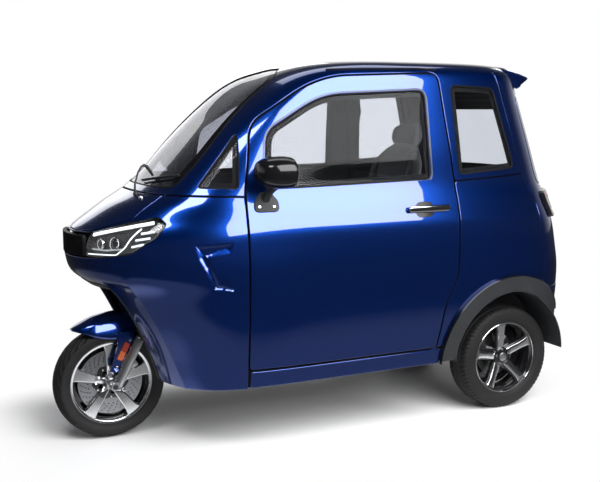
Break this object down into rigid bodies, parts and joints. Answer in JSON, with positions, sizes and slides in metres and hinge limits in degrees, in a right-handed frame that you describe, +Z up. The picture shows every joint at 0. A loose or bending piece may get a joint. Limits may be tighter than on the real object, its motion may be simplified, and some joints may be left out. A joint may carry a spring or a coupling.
{
  "type": "three-wheeled cabin scooter",
  "caption": "Enclosed three-wheeled electric scooter: one steered front wheel, two rear wheels, hinged doors and tailgate.",
  "frame": {"origin": "on the ground, on the middle plane, midway between the front tyre's tread and the rear bumper", "axes": "+X to the tail, -X to the nose, +Y to the vehicle's right side, +Z up"},
  "size_m": [2.4645, 1.43, 1.655],
  "materials": {
    "body_blue": "deep blue metallic paint, high gloss",
    "black_trim": "grained black plastic",
    "gloss_black": "gloss black",
    "clear_glass": "clear laminated glass",
    "lamp_clear": "clear lamp cover",
    "lamp_red": "red lamp cover",
    "orange_lens": "orange reflector",
    "tyre": "black rubber",
    "bright_alloy": "polished alloy",
    "silver_metal": "satin silver",
    "brushed_disc": "brushed steel",
    "dark_steel": "black powder coat",
    "chrome": "chrome",
    "dark_interior": "dark grained plastic",
    "seat_fabric": "charcoal fabric and imitation leather",
    "battery_case": "grey moulded case"
  },
  "bodies": {
    "body": {"front_cowl": "body_blue", "hood_panel": "body_blue", "front_grille": "black_trim", "headlamps": "lamp_clear", "chin_lip": "black_trim", "front_wheel_well": "black_trim", "sills": "body_blue", "rear_quarters": "body_blue", "tail_surround": "body_blue", "rear_bumper": "body_blue", "cab_frame": "body_blue", "roof_cap": "body_blue", "windscreen": "clear_glass", "quarter_lights": "clear_glass", "rear_side_windows": "clear_glass", "wheel_flares": "black_trim", "tail_lamps": "lamp_red", "rear_wheel_liners": "black_trim", "chassis_frame": "dark_steel", "floor_tub": "dark_interior", "dashboard": "dark_interior", "driver_seat": "seat_fabric", "rear_seat": "seat_fabric", "seat_boxes": "dark_interior", "battery_block": "battery_case", "drive_motor": "silver_metal", "rear_axle": "dark_steel", "leaf_springs": "dark_steel"},
    "steering": {"steering_stem": "dark_steel", "fork_legs": "silver_metal", "handlebar": "dark_steel", "front_mudguard": "body_blue", "fork_reflectors": "orange_lens", "brake_caliper": "dark_steel"},
    "front_wheel": {"front_tyre": "tyre", "front_rim": "bright_alloy", "front_brake_disc": "brushed_disc"},
    "rear_wheel_left": {"rear_tyre_left": "tyre", "rear_rim_left": "bright_alloy"},
    "rear_wheel_right": {"rear_tyre_right": "tyre", "rear_rim_right": "bright_alloy"},
    "door_left": {"door_panel_left": "body_blue", "door_glass_left": "clear_glass", "door_handle_left": "chrome", "door_mirror_left": "gloss_black"},
    "door_right": {"door_panel_right": "body_blue", "door_glass_right": "clear_glass", "door_handle_right": "chrome", "door_mirror_right": "gloss_black"},
    "tailgate": {"tailgate_panel": "body_blue", "tailgate_glass": "clear_glass"}
  },
  "joints": [
    {"name": "steering_turn", "type": "hinge", "parent": "body", "child": "steering", "pos_m": [-0.95962, 0, 0.23022], "axis": [0.4617, 0, 0.887], "range_deg": [-35, 35]},
    {"name": "front_wheel_spin", "type": "hinge", "parent": "steering", "child": "front_wheel", "pos_m": [-0.988, 0, 0.245], "axis": [0, 1, 0], "continuous": true},
    {"name": "rear_left_spin", "type": "hinge", "parent": "body", "child": "rear_wheel_left", "pos_m": [0.828, -0.4, 0.248], "axis": [0, 1, 0], "continuous": true},
    {"name": "rear_right_spin", "type": "hinge", "parent": "body", "child": "rear_wheel_right", "pos_m": [0.828, 0.4, 0.248], "axis": [0, 1, 0], "continuous": true},
    {"name": "door_left_swing", "type": "hinge", "parent": "body", "child": "door_left", "pos_m": [-0.524, -0.517, 0.6], "axis": [0, 0, -1], "range_deg": [0, 65]},
    {"name": "door_right_swing", "type": "hinge", "parent": "body", "child": "door_right", "pos_m": [-0.524, 0.517, 0.6], "axis": [0, 0, 1], "range_deg": [0, 65]},
    {"name": "tailgate_lift", "type": "hinge", "parent": "body", "child": "tailgate", "pos_m": [1.021, 0, 1.504], "axis": [0, -1, 0], "range_deg": [0, 70]}
  ]
}
